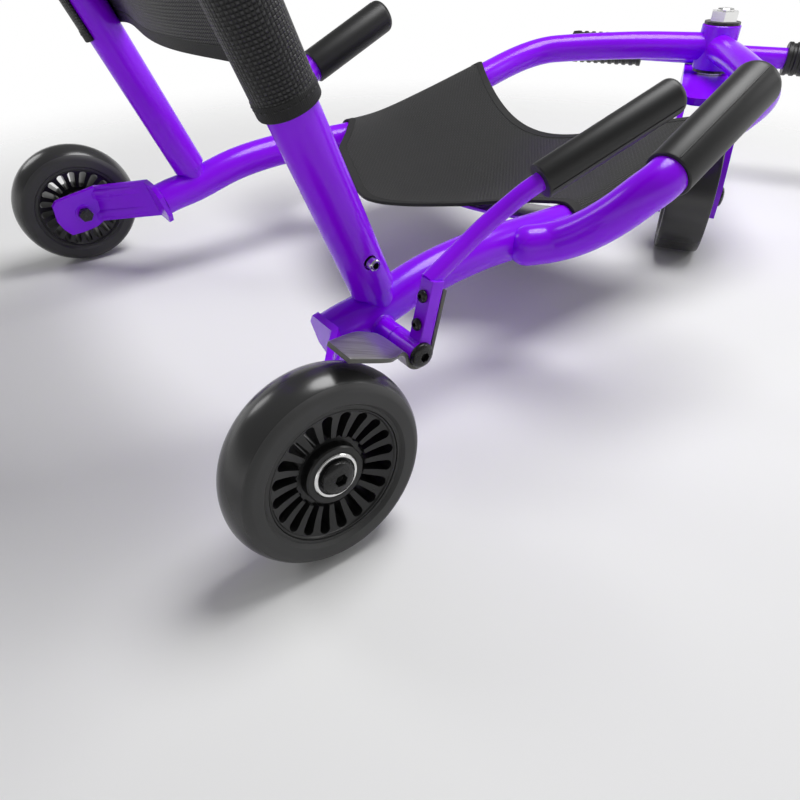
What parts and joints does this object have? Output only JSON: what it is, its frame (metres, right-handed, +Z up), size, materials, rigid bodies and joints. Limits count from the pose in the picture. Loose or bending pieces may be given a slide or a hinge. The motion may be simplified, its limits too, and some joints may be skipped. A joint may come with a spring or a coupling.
{
  "type": "sit-down scooter",
  "caption": "Low sit-down ride-on with a tube frame, a sling seat, a backrest hoop, side handles, a hand brake on one rear wheel and a swinging front fork with a foot bar.",
  "frame": {"origin": "centre of the bounding box's footprint, on the ground, with the front fork turned as in the picture", "axes": "+X to the rider's right, +Y forward from the rear wheels to the front fork, +Z up"},
  "size_m": [0.5616, 0.9862, 0.4195],
  "materials": {
    "purple_paint": "glossy paint",
    "tyre_grey": "cast polyurethane, satin sides and a glossy tread",
    "black_plastic": "moulded, semi-gloss",
    "black_rubber": "smooth rubber",
    "black_weave": "coarse plain-woven mesh",
    "black_bolt": "black oxide, semi-gloss",
    "bright_steel": "bright plated",
    "grey_steel": "brushed along its length"
  },
  "bodies": {
    "frame": {"backrest_hoop": "purple_paint", "backrest_panel": "black_weave", "backrest_stub_left": "purple_paint", "backrest_stub_right": "purple_paint", "brake_pivot_bolt": "black_bolt", "brake_stub": "purple_paint", "frame_tube_left": "purple_paint", "frame_tube_right": "purple_paint", "handle_grip_left": "black_rubber", "handle_grip_right": "black_rubber", "head_bush_lower": "black_plastic", "head_bush_upper": "black_plastic", "head_tube": "purple_paint", "hoop_screw_left": "bright_steel", "hoop_screw_right": "bright_steel", "rear_arm_left": "purple_paint", "rear_arm_right": "purple_paint", "seat_cross_strap": "purple_paint", "seat_sling": "black_weave", "side_handle_left": "purple_paint", "side_handle_right": "purple_paint", "wheel_left_axle_bolt": "black_bolt", "wheel_left_axle_nut": "black_bolt", "wheel_left_axle_spacer": "black_plastic", "wheel_left_hub_spacer": "bright_steel", "wheel_right_axle_bolt": "black_bolt", "wheel_right_axle_nut": "black_bolt", "wheel_right_axle_spacer": "black_plastic", "wheel_right_hub_spacer": "bright_steel"},
    "brake": {"brake_bracket": "purple_paint", "brake_button_lower": "black_bolt", "brake_button_upper": "black_bolt", "brake_lever": "purple_paint", "brake_lever_grip": "black_rubber", "brake_shoe": "grey_steel"},
    "front_swing": {"foot_bar": "purple_paint", "foot_peg_left": "black_rubber", "foot_peg_right": "black_rubber", "fork_crown": "purple_paint", "fork_plate_left": "purple_paint", "fork_plate_right": "purple_paint", "spindle_nut": "bright_steel", "steering_spindle": "bright_steel", "wheel_front_axle_bolt": "black_bolt", "wheel_front_axle_nut": "black_bolt", "wheel_front_axle_spacer_left": "black_plastic", "wheel_front_axle_spacer_right": "black_plastic", "wheel_front_hub_spacer": "bright_steel"},
    "front_wheel": {"wheel_front_bearing_inner": "bright_steel", "wheel_front_bearing_outer": "bright_steel", "wheel_front_core": "black_plastic", "wheel_front_tyre": "tyre_grey"},
    "wheel_left": {"wheel_left_bearing_inner": "bright_steel", "wheel_left_bearing_outer": "bright_steel", "wheel_left_core": "black_plastic", "wheel_left_tyre": "tyre_grey"},
    "wheel_right": {"wheel_right_bearing_inner": "bright_steel", "wheel_right_bearing_outer": "bright_steel", "wheel_right_core": "black_plastic", "wheel_right_tyre": "tyre_grey"}
  },
  "joints": [
    {"name": "wheel_right_spin", "type": "hinge", "parent": "frame", "child": "wheel_right", "pos_m": [0.2579, -0.43119, 0.06223], "axis": [0.9954, 0, 0.0958], "continuous": true},
    {"name": "wheel_left_spin", "type": "hinge", "parent": "frame", "child": "wheel_left", "pos_m": [-0.2579, -0.43119, 0.06223], "axis": [-0.9954, 0, 0.0958], "continuous": true},
    {"name": "front_swing_turn", "type": "hinge", "parent": "frame", "child": "front_swing", "pos_m": [0, 0.32381, 0.177], "axis": [0, 0, 1], "range_deg": [-77.5, 12.5]},
    {"name": "front_wheel_spin", "type": "hinge", "parent": "front_swing", "child": "front_wheel", "pos_m": [0.12272, 0.13118, 0.0625], "axis": [0.8434, 0.5373, 0], "continuous": true},
    {"name": "brake_lever_turn", "type": "hinge", "parent": "frame", "child": "brake", "pos_m": [0.21, -0.33249, 0.08], "axis": [1, 0, 0], "range_deg": [0, 4.6], "stiffness_Nm_per_rad": 3, "springref_deg": -11.46}
  ]
}
